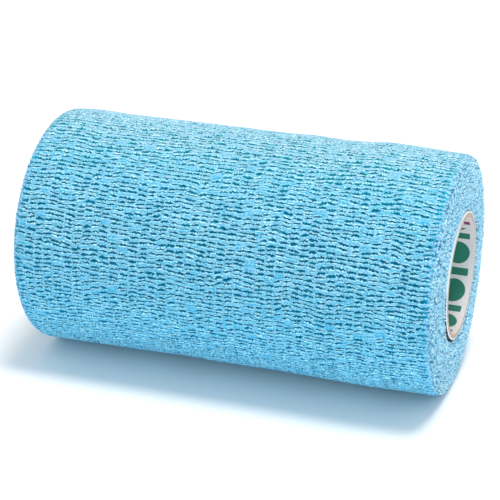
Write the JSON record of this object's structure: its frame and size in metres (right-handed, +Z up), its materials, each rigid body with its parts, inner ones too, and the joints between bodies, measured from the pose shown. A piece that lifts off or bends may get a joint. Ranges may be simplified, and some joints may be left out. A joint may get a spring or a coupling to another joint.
{
  "type": "cohesive bandage roll",
  "caption": "Crinkled self-adhering bandage wound on an open paperboard core, lying on its side on a small flat.",
  "frame": {"origin": "on the surface that the roll lies on, under the middle of the roll", "axes": "+X along the roll's axis, towards the end that shows its core best; +Z up, away from the surface; the cut end of the bandage lies low on the +Y side"},
  "size_m": [0.1016, 0.0574, 0.0568],
  "materials": {
    "crinkled_cloth": "matte, crinkled nonwoven",
    "paperboard": "matte, smooth white liner inside"
  },
  "bodies": {
    "root": {"bandage_roll": "crinkled_cloth", "core_tube": "paperboard"}
  },
  "joints": []
}
